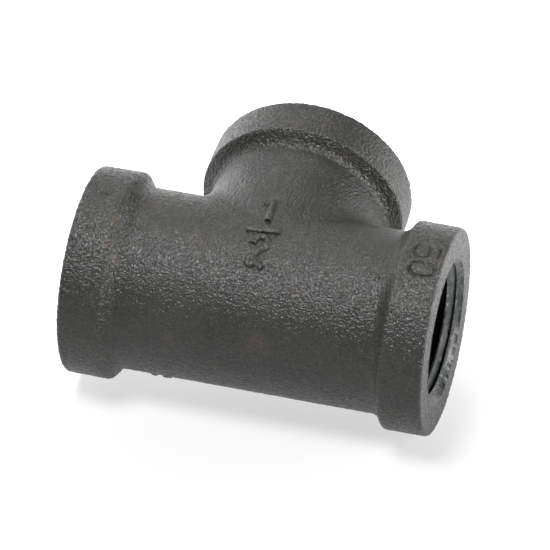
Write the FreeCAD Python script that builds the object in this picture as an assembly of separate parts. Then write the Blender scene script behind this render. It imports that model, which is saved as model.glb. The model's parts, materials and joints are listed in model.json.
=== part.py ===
import FreeCAD, Part

import math
import os

# Straight pipe tee, 1/2 inch, with tapered female threads. The run lies along X, the branch
# along +Y, and the origin is where their axes cross. The real fitting is one casting: its
# zones are separate solids here, which meet face to face with no gap.

# Driving dimensions, mm
run_centre_to_end = 28.45        # crossing of the axes to each run face
branch_centre_to_end = 28.45     # crossing of the axes to the branch face

threads_per_inch = 14
pitch_radius = 9.886             # thread pitch line, at the mouth
thread_taper = 1 / 32            # radius lost per mm of depth, 1 in 16 on the diameter
thread_depth = 10.9              # mouth to the far side of the last turn
thread_start = 0.3               # depth where the groove begins, in the countersink
ream_margin = 0.6                # tapered hole past the last turn
drill_land = 1.6                 # plain drilled hole past the tapered one

# Thread form, as shares of the pitch
crest_share = 0.4                # pitch line to the tapered hole that the crests stand on
root_share = 0.38                # pitch line to the root of the groove
neck_share = 0.86                # groove's width at the crests
root_flat_share = 0.06           # flat at the root

countersink_rim = 0.85           # countersink past the groove's root, at the mouth
chamber_step = 0.56              # thread zone's outside past the cast waterway
body_wall = 3.15                 # around the cast waterway
neck_step = 0.2                  # branch neck's radius under the barrel's
junction_fillet = 4.5            # where the neck flows into the barrel

band_rise = 2.1                  # end bands above the barrel
band_width = 6.4                 # flat of a band, from its face
rim_round = 0.35                 # outer edge of a face
shoulder_round = 0.8             # band into its shoulder
shoulder_hollow = 1.0            # shoulder into the barrel
shoulder_slope = 65.0            # degrees, steepest part of the shoulder

mark_height = 0.45               # size numerals above the casting
mark_stroke = 1.05               # width of their lines
mark_centre_y = 0.2              # middle of the bar between the numerals
mark_gap = 1.7                   # bar's middle to the nearer end of a numeral's line
one_height = 4.8                 # line ends of the numerals, foot to top
two_height = 4.9
two_width = 2.3
bar_length = 5.3
bar_lift = 0.6                   # bar's right end above its left

# Values that follow from them
pitch = 25.4 / threads_per_inch
crest_radius = pitch_radius - crest_share * pitch
root_radius = pitch_radius + root_share * pitch
ream_depth = thread_depth + ream_margin
drill_radius = crest_radius - thread_taper * ream_depth
countersink_radius = root_radius + countersink_rim
chamber_radius = countersink_radius             # outside of a thread zone, inside of a band
waterway_radius = chamber_radius - chamber_step
body_radius = waterway_radius + body_wall
neck_radius = body_radius - neck_step
branch_band_rise = band_rise + neck_step        # all three bands are one size
hole_depth = ream_depth + drill_land

X, Y, Z = FreeCAD.Vector(1, 0, 0), FreeCAD.Vector(0, 1, 0), FreeCAD.Vector(0, 0, 1)
ORIGIN = FreeCAD.Vector(0, 0, 0)


def cylinder(radius, start, end, axis):
    return Part.makeCylinder(radius, end - start, axis * start, axis)


def revolve(edges):
    """Solid of revolution about Z from edges in the XZ plane."""
    return Part.Face(Part.Wire(edges)).revolve(ORIGIN, Z, 360)


def outline(points):
    return Part.makePolygon(points + points[:1]).Edges


def at_port(shape, centre_to_end, outwards):
    """Place a shape whose Z runs inwards from the mouth at the end of one arm."""
    turn = FreeCAD.Rotation(Z, outwards * -1)
    placed = shape.copy()
    placed.Placement = FreeCAD.Placement(outwards * centre_to_end, turn)
    return placed


# Shoulder of a band, worked out for a rise from the barrel

def shoulder_run(rise):
    """Length along the axis of the round, the slope and the hollow."""
    slope = math.radians(shoulder_slope)
    rounds = shoulder_round + shoulder_hollow
    straight = (rise - rounds * (1 - math.cos(slope))) / math.sin(slope)
    return rounds * math.sin(slope) + straight * math.cos(slope)


def arc(centre_r, centre_z, radius, angles):
    """Arc in the XZ plane through three angles, in degrees from +X towards +Z."""
    points = []
    for angle in angles:
        turn = math.radians(angle)
        points.append(FreeCAD.Vector(centre_r + radius * math.cos(turn), 0,
                                     centre_z + radius * math.sin(turn)))
    return Part.Arc(*points).toShape(), points[0], points[-1]


def end_band(barrel_radius, rise):
    """Thick collar round a port, from its face to the end of its shoulder."""
    outer = barrel_radius + rise
    depth = band_width + shoulder_run(rise)
    rim, rim_in, rim_out = arc(outer - rim_round, rim_round, rim_round, (-90, -45, 0))
    crest, crest_in, crest_out = arc(outer - shoulder_round, band_width, shoulder_round,
                                     (0, shoulder_slope / 2, shoulder_slope))
    hollow, hollow_in, hollow_out = arc(barrel_radius + shoulder_hollow, depth, shoulder_hollow,
                                        (180 + shoulder_slope, 180 + shoulder_slope / 2, 180))
    corner_in = FreeCAD.Vector(chamber_radius, 0, 0)
    corner_out = FreeCAD.Vector(chamber_radius, 0, depth)
    edges = [Part.makeLine(corner_in, rim_in), rim, Part.makeLine(rim_out, crest_in), crest,
             Part.makeLine(crest_out, hollow_in), hollow, Part.makeLine(hollow_out, corner_out),
             Part.makeLine(corner_out, corner_in)]
    return revolve(edges)


def thread_groove():
    """Right-hand V groove on a cone, with a plain neck that stays inside the hole."""
    half_neck = neck_share * pitch / 2
    start_loss = thread_taper * thread_start
    helix = Part.makeHelix(pitch, thread_depth - half_neck - thread_start, pitch_radius - start_loss,
                           -math.degrees(math.atan(thread_taper)))
    helix.translate(Z * thread_start)
    root = (root_radius - start_loss, root_flat_share * pitch / 2)
    crest = (crest_radius - start_loss, half_neck)
    neck = (drill_radius - crest_share * pitch, half_neck)
    points = [FreeCAD.Vector(r, 0, thread_start - half) for r, half in (neck, crest, root)]
    points += [FreeCAD.Vector(r, 0, thread_start + half) for r, half in (root, crest, neck)]
    shell = Part.BRepOffsetAPI.MakePipeShell(Part.Wire(helix.Edges))
    shell.setFrenetMode(True)
    shell.add(Part.Wire(outline(points)))
    shell.build()
    shell.makeSolid()
    return shell.shape()


def port_thread():
    """Threaded sleeve of one port: countersink, tapered hole, drilled hole and groove."""
    countersink_depth = (countersink_radius - crest_radius) / (1 - thread_taper)
    profile = [FreeCAD.Vector(chamber_radius, 0, 0),
               FreeCAD.Vector(countersink_radius - countersink_depth, 0, countersink_depth),
               FreeCAD.Vector(drill_radius, 0, ream_depth),
               FreeCAD.Vector(drill_radius, 0, hole_depth),
               FreeCAD.Vector(chamber_radius, 0, hole_depth)]
    return revolve(outline(profile)).cut(thread_groove())


def outer_form(grow, run_half, branch_end):
    """Barrel and branch neck fused, both grown by the same amount."""
    barrel = cylinder(body_radius + grow, -run_half, run_half, X)
    neck = cylinder(neck_radius + grow, 0, branch_end, Y)
    return barrel.fuse(neck).removeSplitter()


def tee_body():
    """Barrel and neck up to the bands, hollow, with a seat for each thread sleeve."""
    run_half = run_centre_to_end - band_width - shoulder_run(band_rise)
    branch_end = branch_centre_to_end - band_width - shoulder_run(branch_band_rise)
    form = outer_form(0, run_half, branch_end)
    crease = [edge for edge in form.Edges if isinstance(edge.Curve, Part.BSplineCurve)]
    room = min(run_half, branch_end) - neck_radius
    form = form.makeFillet(min(junction_fillet, 0.8 * room), crease)
    return form.cut(hollow(run_half, branch_end))


def hollow(run_half, branch_end):
    """Waterways and thread seats as one form, so that the body is cut once."""
    run = cylinder(waterway_radius, -run_half, run_half, X)
    holes = [cylinder(waterway_radius, 0, branch_end, Y)]
    ports = [(run_centre_to_end, run_half, X * -1), (run_centre_to_end, run_half, X),
             (branch_centre_to_end, branch_end, Y)]
    for centre_to_end, seat_mouth, outwards in ports:
        holes.append(cylinder(chamber_radius, centre_to_end - hole_depth, seat_mouth, outwards))
    return run.fuse(holes).removeSplitter()


# Size numerals, drawn with a line of one width

def line_prism(start, end):
    """Upright wall of the mark's width with round ends, along one line of a numeral."""
    along = (end - start).normalize()
    side = FreeCAD.Vector(-along.y, along.x, 0) * (mark_stroke / 2)
    flat = Part.Face(Part.Wire(outline([start + side, end + side, end - side, start - side])))
    height = body_radius + 2 * mark_height
    ends = [Part.makeCylinder(mark_stroke / 2, height, point) for point in (start, end)]
    return flat.extrude(Z * height).multiFuse(ends)


def numeral(points):
    """Upright prism of one numeral, its line drawn through points given as (right, up)."""
    corners = [FreeCAD.Vector(right, up, 0) for right, up in points]
    prism = line_prism(corners[0], corners[1])
    for start, end in zip(corners[1:], corners[2:]):
        prism = prism.fuse(line_prism(start, end))
    return prism.removeSplitter()


def one_points():
    foot = mark_centre_y + mark_gap
    top = foot + one_height
    flag = one_height / 4
    return [(0, foot), (0, top), (-flag, top - flag / 2)]


def two_points():
    """Bow over the top, a slanting line down to the foot, and the foot."""
    top = mark_centre_y - mark_gap
    foot = top - two_height
    bow = two_width / 2
    points = []
    for angle in range(165, -46, -30):
        turn = math.radians(angle)
        points.append((bow * math.cos(turn), top - bow + bow * math.sin(turn)))
    return points + [(-bow, foot), (bow, foot)]


def bar_points():
    return [(-bar_length / 2, mark_centre_y - bar_lift / 2), (bar_length / 2, mark_centre_y + bar_lift / 2)]


def size_mark(body):
    """Raised 1, bar and 2 on top of the casting, cut to sit on its skin."""
    run_half = run_centre_to_end - band_width
    stock = outer_form(mark_height, run_half, branch_centre_to_end - band_width).cut(body)
    raised = []
    for points in (one_points(), bar_points(), two_points()):
        pieces = numeral(points).common(stock).Solids
        raised += [piece for piece in pieces if piece.CenterOfMass.z > waterway_radius]
    return Part.makeCompound(raised)


def main():
    os.makedirs("parts", exist_ok=True)
    body = tee_body()
    run_band = end_band(body_radius, band_rise)
    neck_band = end_band(neck_radius, branch_band_rise)
    thread = port_thread()
    nodes = {"tee_body": body, "size_mark": size_mark(body)}
    ports = [("left", run_band, run_centre_to_end, X * -1), ("right", run_band, run_centre_to_end, X),
             ("branch", neck_band, branch_centre_to_end, Y)]
    for name, band, centre_to_end, outwards in ports:
        nodes[name + "_end_band"] = at_port(band, centre_to_end, outwards)
        nodes[name + "_port_thread"] = at_port(thread, centre_to_end, outwards)
    for name, shape in nodes.items():
        shape.exportStep("parts/" + name + ".step")
        print(name, shape.isValid(), round(shape.Volume, 1), "mm3")


main()
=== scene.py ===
import json
import math

import bpy
from mathutils import Matrix, Vector, kdtree

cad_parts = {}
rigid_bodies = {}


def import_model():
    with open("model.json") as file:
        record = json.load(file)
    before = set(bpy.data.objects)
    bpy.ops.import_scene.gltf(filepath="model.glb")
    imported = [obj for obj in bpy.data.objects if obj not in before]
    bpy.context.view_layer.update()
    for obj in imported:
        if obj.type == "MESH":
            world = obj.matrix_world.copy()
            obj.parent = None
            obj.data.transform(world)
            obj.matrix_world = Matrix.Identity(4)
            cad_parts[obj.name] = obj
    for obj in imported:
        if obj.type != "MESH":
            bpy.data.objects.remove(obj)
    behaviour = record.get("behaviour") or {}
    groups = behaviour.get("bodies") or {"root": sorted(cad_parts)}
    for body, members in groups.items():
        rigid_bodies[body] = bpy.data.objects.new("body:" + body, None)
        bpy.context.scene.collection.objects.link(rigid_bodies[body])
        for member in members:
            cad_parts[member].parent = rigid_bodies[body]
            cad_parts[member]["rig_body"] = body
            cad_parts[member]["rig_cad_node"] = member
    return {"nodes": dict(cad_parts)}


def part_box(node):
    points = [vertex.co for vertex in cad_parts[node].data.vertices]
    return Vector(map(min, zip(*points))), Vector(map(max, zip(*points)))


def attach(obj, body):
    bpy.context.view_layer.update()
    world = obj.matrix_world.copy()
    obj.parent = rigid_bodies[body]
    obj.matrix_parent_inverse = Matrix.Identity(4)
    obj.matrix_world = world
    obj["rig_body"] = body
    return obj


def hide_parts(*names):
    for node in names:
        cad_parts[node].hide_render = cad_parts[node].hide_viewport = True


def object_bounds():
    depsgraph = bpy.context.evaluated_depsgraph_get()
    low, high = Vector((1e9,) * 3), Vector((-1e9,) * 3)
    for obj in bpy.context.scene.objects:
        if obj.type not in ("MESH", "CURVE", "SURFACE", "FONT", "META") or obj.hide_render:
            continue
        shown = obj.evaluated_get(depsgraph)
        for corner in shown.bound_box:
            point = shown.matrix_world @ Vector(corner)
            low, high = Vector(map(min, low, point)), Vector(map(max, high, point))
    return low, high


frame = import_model()
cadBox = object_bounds()
mm = 0.001
weldGap = 0.002 * mm
snapGap = 0.001 * mm
print("frame loaded")


def clearSelection():
    if bpy.context.object and bpy.context.object.mode != "OBJECT":
        bpy.ops.object.mode_set(mode="OBJECT")
    bpy.ops.object.select_all(action="DESELECT")


def selectOnly(piece):
    clearSelection()
    piece.select_set(True)
    bpy.context.view_layer.objects.active = piece


def editAll(piece):
    selectOnly(piece)
    bpy.ops.object.mode_set(mode="EDIT")
    bpy.ops.mesh.select_all(action="SELECT")


def backToObject():
    bpy.ops.object.mode_set(mode="OBJECT")


def applyPlace(piece):
    selectOnly(piece)
    bpy.ops.object.transform_apply(location=True, rotation=True, scale=True)


def applyModifiers(piece):
    selectOnly(piece)
    for modifier in list(piece.modifiers):
        bpy.ops.object.modifier_apply(modifier=modifier.name)


def copyOf(source, name):
    selectOnly(source)
    bpy.ops.object.duplicate()
    piece = bpy.context.object
    piece.name = name
    piece.data.name = name
    return piece


def copyOfNode(node, name):  # the CAD node stays as it is
    piece = frame["nodes"][node].copy()
    piece.data = piece.data.copy()
    piece.name = name
    piece.data.name = name
    piece.parent = None
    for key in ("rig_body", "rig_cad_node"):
        if key in piece:
            del piece[key]
    bpy.context.scene.collection.objects.link(piece)
    piece.data.materials.clear()
    editAll(piece)
    bpy.ops.mesh.remove_doubles(threshold=weldGap)
    backToObject()
    return piece


def joined(pieces, name):
    clearSelection()
    for piece in pieces:
        piece.select_set(True)
    bpy.context.view_layer.objects.active = pieces[0]
    bpy.ops.object.join()
    whole = bpy.context.object
    whole.name = name
    return whole


def removePiece(piece):
    bpy.data.objects.remove(piece, do_unlink=True)


bandLow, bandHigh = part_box("right_end_band")
branchLow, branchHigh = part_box("branch_end_band")
threadLow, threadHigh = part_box("right_port_thread")
bandRadius = bandHigh.z
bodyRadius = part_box("tee_body")[1].z
chamberRadius = threadHigh.z
holeDepth = threadHigh.x - threadLow.x
arms = {  # outwards, distance of the face, distance of the seam between band and barrel
    "left": (Vector((-1, 0, 0)), bandHigh.x, bandLow.x),
    "right": (Vector((1, 0, 0)), bandHigh.x, bandLow.x),
    "branch": (Vector((0, 1, 0)), branchHigh.y, branchLow.y),
}


def turned(name, rings, outwards, sides=160):  # rings are (distance, radius) along an arm
    turn = Vector((0, 0, 1)).rotation_difference(outwards)
    clearSelection()
    distance, radius = rings[0]
    bpy.ops.mesh.primitive_circle_add(vertices=sides, radius=radius, fill_type="NGON",
                                      location=outwards * distance, rotation=turn.to_euler())
    piece = bpy.context.object
    piece.name = name
    applyPlace(piece)
    editAll(piece)
    for nextDistance, nextRadius in rings[1:]:
        step = outwards * (nextDistance - distance)
        bpy.ops.mesh.extrude_region_move(TRANSFORM_OT_translate={"value": step})
        grow = nextRadius / radius
        bpy.ops.transform.resize(value=(grow, grow, grow), center_override=outwards * nextDistance)
        distance, radius = nextDistance, nextRadius
    bpy.ops.mesh.select_all(action="SELECT")
    bpy.ops.mesh.normals_make_consistent(inside=False)
    backToObject()
    return piece


def fused(piece, voxel):  # overlapping bars become one closed skin
    piece.data.remesh_voxel_size = voxel
    selectOnly(piece)
    bpy.ops.object.voxel_remesh()
    return piece


def stroke(name, places, radius):  # round bar along a smooth line, closed at both ends
    data = bpy.data.curves.new(name, "CURVE")
    data.dimensions = "3D"
    data.bevel_depth = radius
    data.bevel_resolution = 3
    data.resolution_u = 6 if radius else 24
    data.use_fill_caps = True
    line = data.splines.new("NURBS")
    line.points.add(len(places) - 1)
    for point, place in zip(line.points, places):
        point.co = (*place, 1)
    line.order_u = 3 if len(places) > 2 else 2
    line.use_endpoint_u = True
    piece = bpy.data.objects.new(name, data)
    bpy.context.scene.collection.objects.link(piece)
    selectOnly(piece)
    bpy.ops.object.convert(target="MESH")
    return bpy.context.object


def onTop(skin, points, sink):  # places under the upper side of the casting
    places = []
    for x, y in points:
        found, place, normal, face = skin.ray_cast(Vector((x * mm, y * mm, 1)), Vector((0, 0, -1)))
        places.append(place - normal * sink)
    return places


casting = {  # one skin, cut into its zones afterwards
    "skinGap": 0.10 * mm,        # mean skin under the CAD surface, so the grain stays inside it
    "faceGap": 0.15 * mm,
    "flat": 6.3 * mm,            # width of a band
    "rimRound": 0.45 * mm,
    "rimDrop": 0.06 * mm,        # draft of the band towards its face
    "hollowRadius": 2.2 * mm,    # foot of the shoulder
    "edgeRadius": 0.45 * mm,     # top of the shoulder
    "slope": 55,                 # degrees
    "neckStep": 0.2 * mm,        # the branch neck is slimmer than the barrel
    "core": 12.4 * mm,           # inside the barrel's wall
    "waterway": 10.865 * mm,
    "barrelVoxel": 0.235 * mm,
    "bandVoxel": 0.16 * mm,
    "softening": 3,
    "runners": [(-14.9, 0.45), (-12.9, 0.7)],  # lumps under the barrel: place and half length
    "runnerSide": (0, -0.685, -0.728),
    "runnerSink": 0.35 * mm,
    "runnerRadius": 0.62 * mm,
    "lumpSize": 2.6 * mm,
    "lumpHeight": 0.08 * mm,
    "grainSize": 0.42 * mm,
    "grainHeight": 0.27 * mm,
    "smoothAngle": 50,
}


def bandRings(face, barrel):  # hollow, sloping shoulder, flat and rim of one arm
    top = bandRadius - casting["skinGap"]
    floor = barrel - casting["skinGap"]
    end = face - casting["faceGap"]
    hollow, edge = casting["hollowRadius"], casting["edgeRadius"]
    rim, rimTop = casting["rimRound"], top - casting["rimDrop"]
    slope = math.radians(casting["slope"])
    lowPart, highPart = hollow * (1 - math.cos(slope)), edge * (1 - math.cos(slope))
    run = (top - floor - lowPart - highPart) / math.tan(slope)
    flatStart = end - casting["flat"]
    foot = flatStart - edge * math.sin(slope) - run - hollow * math.sin(slope)
    rings = [(foot - 1.5 * mm, casting["core"]), (foot - 1.0 * mm, floor), (foot, floor)]
    for step in range(1, 6):
        turn = slope * step / 5
        rings.append((foot + hollow * math.sin(turn), floor + hollow * (1 - math.cos(turn))))
    for step in range(0, 5):
        turn = slope * (1 - step / 5)
        rings.append((flatStart - edge * math.sin(turn), top - edge * (1 - math.cos(turn))))
    rings.append((flatStart, top))
    rings.append((end - rim, rimTop))
    for step in range(1, 5):
        turn = math.radians(22.5 * step)
        rings.append((end - rim * (1 - math.sin(turn)), rimTop - rim * (1 - math.cos(turn))))
    return rings


def makeTextures():
    for label in ("lump", "grain"):
        texture = bpy.data.textures.new(label, "CLOUDS")
        texture.noise_scale = casting[label + "Size"]
        texture.noise_depth = 1
        texture.noise_basis = "ORIGINAL_PERLIN"


def roughen(piece, label, height):  # presses a pattern into the mesh itself
    push = piece.modifiers.new(label, "DISPLACE")
    push.texture = bpy.data.textures[label]
    push.texture_coords = "LOCAL"
    push.strength = height
    push.mid_level = 0.5


def makeForm():
    parts = [copyOfNode("tee_body", "casting")]
    for name, (outwards, face, seam) in arms.items():
        barrel = bodyRadius - (casting["neckStep"] if name == "branch" else 0)
        rings = [(0.0, casting["core"])] + bandRings(face, barrel)
        parts.append(turned(name + "Form", rings, outwards))
    under = Vector(casting["runnerSide"]) * (bodyRadius - casting["runnerSink"])
    for x, half in casting["runners"]:
        ends = [under + Vector(((x + side * half) * mm, 0, 0)) for side in (-1, 1)]
        parts.append(stroke("runnerStub", ends, casting["runnerRadius"]))
    return joined(parts, "casting")


def makeSkin(form, voxel):
    skin = fused(copyOf(form, "skin"), voxel)
    smooth = skin.modifiers.new("soften", "SMOOTH")
    smooth.factor = 0.5
    smooth.iterations = round(casting["softening"] * (casting["barrelVoxel"] / voxel) ** 2)
    roughen(skin, "lump", casting["lumpHeight"])
    roughen(skin, "grain", casting["grainHeight"])
    applyModifiers(skin)
    print("skin made", len(skin.data.polygons))
    return skin


def keepBeyond(piece, point, normal):  # cuts away what lies behind the plane and caps the cut
    editAll(piece)
    bpy.ops.mesh.bisect(plane_co=point, plane_no=normal, clear_inner=True, threshold=snapGap)
    bpy.ops.mesh.select_all(action="DESELECT")
    bpy.ops.mesh.select_mode(type="EDGE")
    bpy.ops.mesh.select_non_manifold(extend=False)
    bpy.ops.mesh.edge_face_add()
    bpy.ops.mesh.select_mode(type="VERT")
    bpy.ops.mesh.select_all(action="SELECT")
    bpy.ops.mesh.normals_make_consistent(inside=False)
    backToObject()


def cutWith(piece, tool):
    cut = piece.modifiers.new("cut", "BOOLEAN")
    cut.operation = "DIFFERENCE"
    cut.solver = "EXACT"
    cut.object = tool
    applyModifiers(piece)


def makeHollow():  # waterways and the seats of the thread zones
    tools = []
    for name, (outwards, face, seam) in arms.items():
        seat, bore = face - holeDepth, casting["waterway"]
        rings = [(-2 * mm, bore), (seat, bore),
                 (seat + 0.01 * mm, chamberRadius), (face + 2 * mm, chamberRadius)]
        tools.append(turned(name + "Hole", rings, outwards, sides=128))
    return tools


def makeZones(form, holes):
    zones = {}
    fine = makeSkin(form, casting["bandVoxel"])
    for name, (outwards, face, seam) in arms.items():
        zones[name] = copyOf(fine, name + "_band_skin")
        keepBeyond(zones[name], outwards * seam, outwards)
    removePiece(fine)
    body = makeSkin(form, casting["barrelVoxel"])
    body.name = "tee_body_skin"
    mark = makeMark(body)
    for name, (outwards, face, seam) in arms.items():
        keepBeyond(body, outwards * seam, -outwards)
    for name, hole in zip(arms, holes):
        cutWith(zones[name], hole)
        cutWith(body, hole)
    zones["body"] = body
    for leftover in holes + [form]:
        removePiece(leftover)
    return zones, mark


thread = {"trim": 0.14 * mm, "flatAngle": 0.4, "smoothAngle": 28, "turn": 90}  # angles in degrees


def makeThreads():
    threads = {}
    for name, (outwards, face, seam) in arms.items():
        piece = copyOfNode(name + "_port_thread", name + "_thread_cut")
        piece.matrix_world = Matrix.Rotation(math.radians(thread["turn"]), 4, outwards)
        applyPlace(piece)
        editAll(piece)
        mouth = outwards * (face - thread["trim"])
        bpy.ops.mesh.bisect(plane_co=mouth, plane_no=outwards, threshold=snapGap, clear_outer=True)
        bpy.ops.mesh.select_all(action="SELECT")
        bpy.ops.mesh.dissolve_limited(angle_limit=math.radians(thread["flatAngle"]))
        bpy.ops.mesh.select_all(action="DESELECT")
        bpy.ops.mesh.select_non_manifold()
        bpy.ops.mesh.bridge_edge_loops()  # closes the ring at the mouth
        bpy.ops.mesh.select_all(action="SELECT")
        bpy.ops.mesh.normals_make_consistent(inside=False)
        backToObject()
        bpy.ops.object.shade_smooth_by_angle(angle=math.radians(thread["smoothAngle"]))
        even = piece.modifiers.new("even", "WEIGHTED_NORMAL")
        even.keep_sharp = True
        applyModifiers(piece)
        threads[name] = piece
    return threads


mark = {  # raised size, with lines in millimetres seen from above
    "radius": 0.62 * mm,
    "sink": 0.05 * mm,     # middle of a bar under the skin
    "voxel": 0.10 * mm,
    "smoothing": 2,
    "grainHeight": 0.10 * mm,
    "one": [[(-0.35, 7.2), (-0.2, 5.0), (-0.1, 2.5)], [(-1.5, 6.3), (-0.9, 6.7), (-0.4, 7.2)]],
    "bar": [[(-2.75, -0.1), (0.0, 0.2), (2.5, 0.5)]],
    "two": [[(-1.1, -2.75), (-1.0, -1.3), (1.0, -1.2), (1.35, -2.9), (-0.4, -4.4), (-1.1, -5.6)],
            [(-1.1, -5.6), (-0.7, -6.3), (0.2, -5.7), (0.8, -6.0), (1.5, -6.5)]],
}


def makeMark(skin):
    bars = []
    for figure in ("one", "bar", "two"):
        for points in mark[figure]:
            bars.append(stroke(figure, onTop(skin, points, mark["sink"]), mark["radius"]))
    piece = fused(joined(bars, "size_mark_skin"), mark["voxel"])
    smooth = piece.modifiers.new("soften", "SMOOTH")
    smooth.iterations = mark["smoothing"]
    roughen(piece, "grain", mark["grainHeight"])
    applyModifiers(piece)
    bpy.ops.object.shade_smooth()
    return piece


engraved = {  # plain figures on the right band, a dash on the left one
    "width": 0.54 * mm,
    "depth": 0.40 * mm,
    "calmReach": 1.1 * mm,       # less grain this near to a groove
    "calmSteps": 6,
    "tall": 3.8,                 # millimetres along the run
    "wide": 2.5,
    "middle": 25.35,
    "spots": {"one": 3.7, "five": 1.2, "zero": -2.4},
    "one": [[(0.2, 0.75), (0.5, 1.0)], [(0.5, 1.0), (0.5, 0.0)]],
    "five": [[(0.95, 1.0), (0.1, 1.0)], [(0.1, 1.0), (0.05, 0.55)],
             [(0.05, 0.55), (0.7, 0.7), (1.2, 0.35), (0.8, -0.1), (0.0, 0.08)]],
    "zero": [[(0.5, 1.0), (0.0, 1.0), (0.0, 0.0), (0.5, 0.0)],
             [(0.5, 1.0), (1.0, 1.0), (1.0, 0.0), (0.5, 0.0)]],
    "dash": [(-26.2, 0.45), (-24.8, 0.2), (-23.4, 0.0)],
}


def pressIn(piece, lines):  # a groove pressed into the skin along smooth lines
    reach, half = engraved["calmReach"], engraved["width"] / 2
    group = piece.vertex_groups.new(name="pressed")
    calm = piece.vertex_groups.new(name="calm")
    near = kdtree.KDTree(sum(len(line.data.vertices) for line in lines))
    for line in lines:
        for point in line.data.vertices:
            near.insert(point.co, 0)
    near.balance()
    for point in piece.data.vertices:
        away = near.find(point.co)[2]
        if away < reach:
            calm.add([point.index], 1 - away / reach, "REPLACE")
        if away < half:
            group.add([point.index], 1 - (away / half) ** 2, "REPLACE")
    smooth = piece.modifiers.new("calm", "SMOOTH")
    smooth.vertex_group = "calm"
    smooth.iterations = engraved["calmSteps"]
    push = piece.modifiers.new("press", "DISPLACE")
    push.vertex_group = "pressed"
    push.mid_level = 0
    push.strength = -engraved["depth"]
    applyModifiers(piece)
    for line in lines:
        removePiece(line)


def engrave(zones):
    tall, wide = engraved["tall"], engraved["wide"]
    low = engraved["middle"] - tall / 2
    figures = []
    for figure, start in engraved["spots"].items():
        for points in engraved[figure]:
            places = [(low + up * tall, start - along * wide) for along, up in points]
            figures.append(stroke("figureLine", onTop(zones["right"], places, 0), 0))
    pressIn(zones["right"], figures)
    dash = stroke("dashLine", onTop(zones["left"], engraved["dash"], 0), 0)
    pressIn(zones["left"], [dash])


def newMaterial(name):
    material = bpy.data.materials.new(name)
    material.use_nodes = True
    nodes = material.node_tree.nodes
    nodes.clear()
    shader = nodes.new("ShaderNodeBsdfPrincipled")
    output = nodes.new("ShaderNodeOutputMaterial")
    material.node_tree.links.new(shader.outputs["BSDF"], output.inputs["Surface"])
    return material, nodes, material.node_tree.links, shader


def noiseNode(nodes, links, place, scale, detail, roughness):
    node = nodes.new("ShaderNodeTexNoise")
    node.inputs["Scale"].default_value = scale
    node.inputs["Detail"].default_value = detail
    node.inputs["Roughness"].default_value = roughness
    links.new(place, node.inputs["Vector"])
    return node.outputs["Fac"]


def rampNode(nodes, links, value, stops):  # a stop is a place and a colour or a grey
    node = nodes.new("ShaderNodeValToRGB")
    ramp = node.color_ramp
    for index, (place, tone) in enumerate(stops):
        stop = ramp.elements[index] if index < 2 else ramp.elements.new(place)
        stop.position = place
        stop.color = (*tone, 1) if isinstance(tone, tuple) else (tone, tone, tone, 1)
    links.new(value, node.inputs["Fac"])
    return node.outputs["Color"]


def mixColour(nodes, links, share, first, second):
    node = nodes.new("ShaderNodeMix")
    node.data_type = "RGBA"
    links.new(share, node.inputs[0])
    links.new(first, node.inputs[6])
    node.inputs[7].default_value = (*second, 1)
    return node.outputs[2]


def mathNode(nodes, links, operation, first, second):
    node = nodes.new("ShaderNodeMath")
    node.operation = operation
    for socket, value in enumerate((first, second)):
        if hasattr(value, "is_linked"):
            links.new(value, node.inputs[socket])
        else:
            node.inputs[socket].default_value = value
    return node.outputs[0]


def bumpNode(nodes, links, height, share, depth, shader):
    bump = nodes.new("ShaderNodeBump")
    bump.inputs["Strength"].default_value = share
    bump.inputs["Distance"].default_value = depth
    links.new(height, bump.inputs["Height"])
    links.new(bump.outputs["Normal"], shader.inputs["Normal"])


castFinish = {
    "dark": (0.0085, 0.0088, 0.0077),
    "light": (0.026, 0.0267, 0.0235),
    "rust": (0.085, 0.048, 0.032),
    # painted glint colour: light grey flecks that stand in for the sparkle of light on the grains
    "paintedGlint": (0.30, 0.30, 0.29),
    "grainScale": 3200,          # every scale is per metre
    "beadScale": 3300,
    "patchScale": 130,
    "rustScale": 210,
    "paintedGlintScale": 3900,
    "patchShare": 0.3,
    "rustShare": 0.28,
    "paintedGlintShare": 0.25,
    "beadShare": 0.55,
    "roughness": (0.42, 0.26),   # in the hollows and on the grains
    "ior": 1.46,
    "bumpDepth": 0.14 * mm,
}


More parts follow.
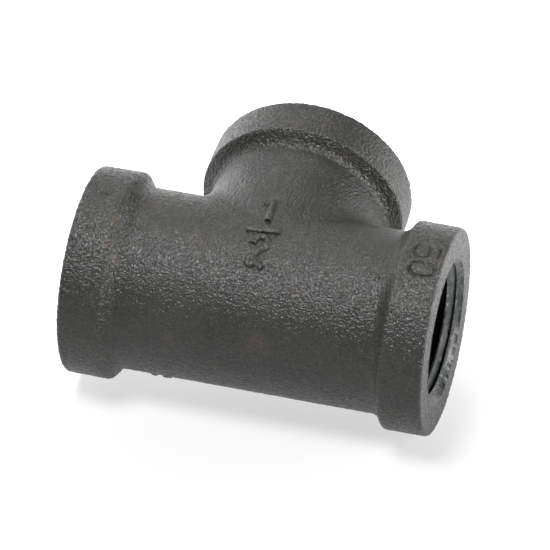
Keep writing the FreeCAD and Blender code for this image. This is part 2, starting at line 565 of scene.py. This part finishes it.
def castMaterial():
    material, nodes, links, shader = newMaterial("blackCastIron")
    finish = castFinish
    place = nodes.new("ShaderNodeTexCoord").outputs["Object"]
    grain = noiseNode(nodes, links, place, finish["grainScale"], 1.5, 0.6)
    patch = noiseNode(nodes, links, place, finish["patchScale"], 4, 0.6)
    rustPatch = noiseNode(nodes, links, place, finish["rustScale"], 3, 0.55)
    beads = nodes.new("ShaderNodeTexVoronoi")
    beads.inputs["Scale"].default_value = finish["beadScale"]
    links.new(place, beads.inputs["Vector"])
    share = finish["patchShare"]
    tone = mathNode(nodes, links, "ADD", mathNode(nodes, links, "MULTIPLY", grain, 1 - share),
                    mathNode(nodes, links, "MULTIPLY", patch, share))
    colour = rampNode(nodes, links, tone, [(0.36, finish["dark"]), (0.66, finish["light"])])
    rustShare = rampNode(nodes, links, rustPatch, [(0.60, 0), (0.74, finish["rustShare"])])
    colour = mixColour(nodes, links, rustShare, colour, finish["rust"])
    # painted glints: light grey flecks mixed into the colour, standing in for the sparkle of light on
    # the grains
    paintedGlintNoise = noiseNode(nodes, links, place, finish["paintedGlintScale"], 1, 0.4)
    paintedGlintShare = rampNode(nodes, links, paintedGlintNoise, [(0.70, 0), (0.80, finish["paintedGlintShare"])])
    colour = mixColour(nodes, links, paintedGlintShare, colour, finish["paintedGlint"])
    links.new(colour, shader.inputs["Base Color"])
    hollowRough, grainRough = finish["roughness"]
    rough = rampNode(nodes, links, grain, [(0.35, hollowRough), (0.7, grainRough)])
    links.new(rough, shader.inputs["Roughness"])
    sunk = mathNode(nodes, links, "MULTIPLY", beads.outputs["Distance"], finish["beadShare"])
    height = mathNode(nodes, links, "SUBTRACT", grain, sunk)
    bumpNode(nodes, links, height, 1.0, finish["bumpDepth"], shader)
    shader.inputs["Metallic"].default_value = 0.0
    shader.inputs["IOR"].default_value = finish["ior"]
    return material


threadFinish = {
    "dark": (0.016, 0.0175, 0.018),
    "light": (0.06, 0.065, 0.067),
    "grainScale": 1500,
    "roughness": (0.45, 0.3),
    "metallic": 0.35,
    "bumpShare": 0.6,
    "bumpDepth": 0.02 * mm,
}


def threadMaterial():
    material, nodes, links, shader = newMaterial("cutThreadIron")
    finish = threadFinish
    place = nodes.new("ShaderNodeTexCoord").outputs["Object"]
    grain = noiseNode(nodes, links, place, finish["grainScale"], 4, 0.6)
    colour = rampNode(nodes, links, grain, [(0.35, finish["dark"]), (0.7, finish["light"])])
    links.new(colour, shader.inputs["Base Color"])
    hollowRough, grainRough = finish["roughness"]
    rough = rampNode(nodes, links, grain, [(0.3, hollowRough), (0.7, grainRough)])
    links.new(rough, shader.inputs["Roughness"])
    bumpNode(nodes, links, grain, finish["bumpShare"], finish["bumpDepth"], shader)
    shader.inputs["Metallic"].default_value = finish["metallic"]
    return material


makeTextures()
zones, sizeMark = makeZones(makeForm(), makeHollow())
engrave(zones)
print("zones cut", {name: len(zone.data.polygons) for name, zone in zones.items()})
threads = makeThreads()
print("threads cut")
castIron = castMaterial()
cutIron = threadMaterial()

for name, zone in zones.items():
    selectOnly(zone)
    bpy.ops.object.shade_smooth_by_angle(angle=math.radians(casting["smoothAngle"]))
    zone.data.materials.clear()
    zone.data.materials.append(castIron)
    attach(zone, "root")
    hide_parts("tee_body" if name == "body" else name + "_end_band")
for name, piece in threads.items():
    piece.data.materials.append(cutIron)
    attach(piece, "root")
    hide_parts(name + "_port_thread")
sizeMark.data.materials.append(castIron)
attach(sizeMark, "root")
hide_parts("size_mark")
print("pieces placed")


studio = {  # floor, world and lamps
    "floorSize": 60.0,
    "floorTone": (0.24, 0.24, 0.24, 1),
    "floorRoughness": 0.9,
    # painted light: the floor glows by itself, so its cast shadows stay light
    "floorGlow": 2.1,
    "paintedShadeSpot": (0.02, -0.12, 0),  # painted shade: the glowing floor is dimmer in front of the object
    # where the painted shade patch fades out into the full glow
    "calmReach": (0.10, 0.22),
    "paintedShadeShare": 0.27,
    "worldStrength": 0.2,
    "wallStrength": 0.95,
    "wallHeight": 0.12,
    "lamps": {  # place, size and power
        "topBox": ((-0.15, -0.25, 0.82), (0.24, 0.26), 10.0),
        "backBox": ((-0.15, 0.6, 0.5), (0.25, 0.25), 2.0),
        "rightBox": ((0.8, 0.05, 0.25), (0.4, 0.5), 9.0),
        "leftBox": ((-0.7, 0.45, 0.25), (0.4, 0.5), 3.2),
    },
}


def makeFloor():
    clearSelection()
    bpy.ops.mesh.primitive_plane_add(size=studio["floorSize"], location=(0, 0, cadBox[0][2]))
    floor = bpy.context.object
    floor.name = "floor"
    material, nodes, links, shader = newMaterial("paleFloor")
    shader.inputs["Base Color"].default_value = studio["floorTone"]
    shader.inputs["Roughness"].default_value = studio["floorRoughness"]
    away = nodes.new("ShaderNodeVectorMath")
    away.operation = "DISTANCE"
    away.inputs[1].default_value = studio["paintedShadeSpot"]
    links.new(nodes.new("ShaderNodeTexCoord").outputs["Object"], away.inputs[0])
    # painted light: emission makes the floor glow, dimmer in a painted shade patch in front of the
    # object
    glow = nodes.new("ShaderNodeMapRange")
    glow.interpolation_type = "SMOOTHSTEP"
    glow.inputs["From Min"].default_value, glow.inputs["From Max"].default_value = studio["calmReach"]
    glow.inputs["To Min"].default_value = studio["paintedShadeShare"]
    links.new(away.outputs["Value"], glow.inputs["Value"])
    links.new(glow.outputs["Result"], shader.inputs["Emission Color"])
    shader.inputs["Emission Strength"].default_value = studio["floorGlow"]
    floor.data.materials.append(material)


def softBox(name, place, size, power):
    data = bpy.data.lights.new(name, "AREA")
    data.shape = "RECTANGLE"
    data.size, data.size_y = size
    data.energy = power
    lamp = bpy.data.objects.new(name, data)
    bpy.context.scene.collection.objects.link(lamp)
    lamp.location = place
    lamp.rotation_euler = (-Vector(place)).to_track_quat("-Z", "Y").to_euler()


def makeLight():
    world = bpy.data.worlds.new("studio")
    bpy.context.scene.world = world
    world.use_nodes = True
    nodes, links = world.node_tree.nodes, world.node_tree.links
    background = nodes["Background"]
    background.inputs["Color"].default_value = (1, 1, 1, 1)
    height = nodes.new("ShaderNodeSeparateXYZ")
    links.new(nodes.new("ShaderNodeTexCoord").outputs["Generated"], height.inputs[0])
    fade = nodes.new("ShaderNodeMapRange")  # pale wall near the floor, dimmer room above
    fade.inputs["From Max"].default_value = studio["wallHeight"]
    fade.inputs["To Min"].default_value = studio["wallStrength"]
    fade.inputs["To Max"].default_value = studio["worldStrength"]
    links.new(height.outputs["Z"], fade.inputs["Value"])
    links.new(fade.outputs["Result"], background.inputs["Strength"])
    for name, (place, size, power) in studio["lamps"].items():
        softBox(name, place, size, power)


view = {
    "azimuth": 15.86,            # degrees, from straight along +Y towards +X
    "elevation": 42.33,
    "roll": -0.79,
    "distance": 0.7712,
    "aim": (0.8 * mm, 2.9 * mm, 2.8 * mm),
    "lens": 332.2,
    "sensor": 36,
}


def makeCamera():
    data = bpy.data.cameras.new("camera")
    data.lens = view["lens"]
    data.sensor_width = view["sensor"]
    camera = bpy.data.objects.new("camera", data)
    bpy.context.scene.collection.objects.link(camera)
    azimuth, elevation = math.radians(view["azimuth"]), math.radians(view["elevation"])
    level = math.cos(elevation)
    away = Vector((math.sin(azimuth) * level, -math.cos(azimuth) * level, math.sin(elevation)))
    camera.location = Vector(view["aim"]) + away * view["distance"]
    upright = (-away).to_track_quat("-Z", "Y").to_matrix()
    roll = Matrix.Rotation(math.radians(view["roll"]), 3, "Z")
    camera.rotation_euler = (upright @ roll).to_euler()
    bpy.context.scene.camera = camera


makeFloor()
makeLight()
makeCamera()
bpy.context.scene.view_settings.view_transform = "Standard"
print("studio ready")
